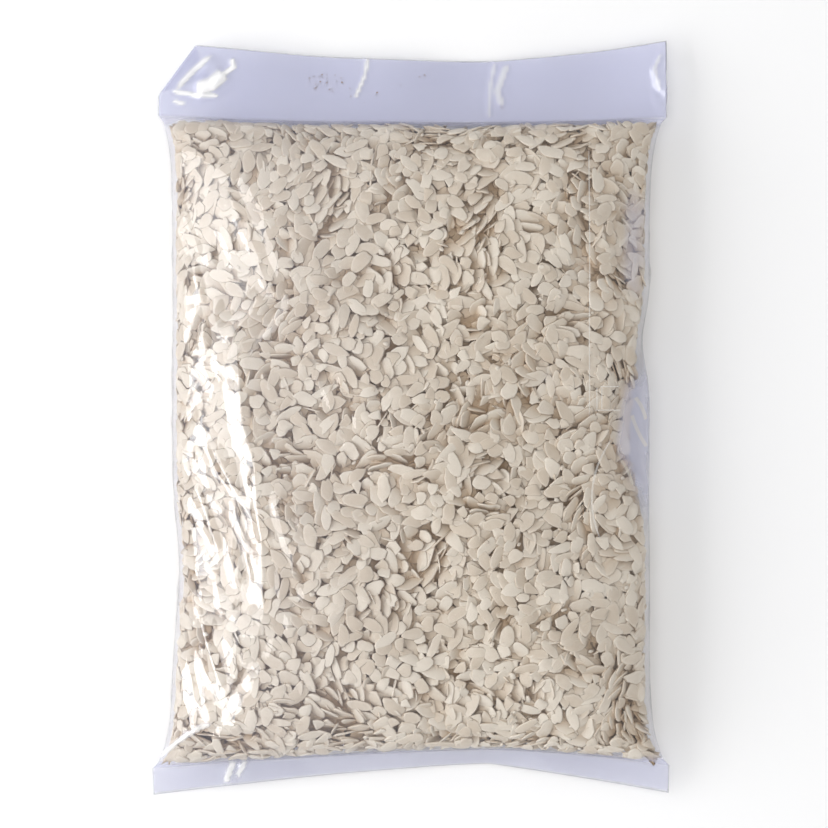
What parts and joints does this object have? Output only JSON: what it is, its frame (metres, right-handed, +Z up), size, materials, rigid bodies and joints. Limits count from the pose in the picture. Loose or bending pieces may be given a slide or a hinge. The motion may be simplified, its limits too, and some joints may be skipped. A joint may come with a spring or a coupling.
{
  "type": "bag of flattened rice",
  "caption": "Clear sealed pillow bag packed full of flattened rice flakes, lying on its back, with a wide plain header at the top and a narrow seal band at the bottom.",
  "frame": {"origin": "on the surface that the bag lies on, under the middle of its bounding box", "axes": "+Y along the bag towards its wide header, +Z up out of the shown face, +X towards the right side as the shown face is looked at"},
  "size_m": [0.188, 0.2748, 0.0397],
  "materials": {
    "filled_bag": "glossy film drawn tight over cream flakes",
    "clear_film": "clear glossy plastic film with a faint lilac haze",
    "rice_flake": "dry pressed rice, cream, slightly translucent"
  },
  "bodies": {
    "root": {"bag": "filled_bag"}
  },
  "joints": []
}
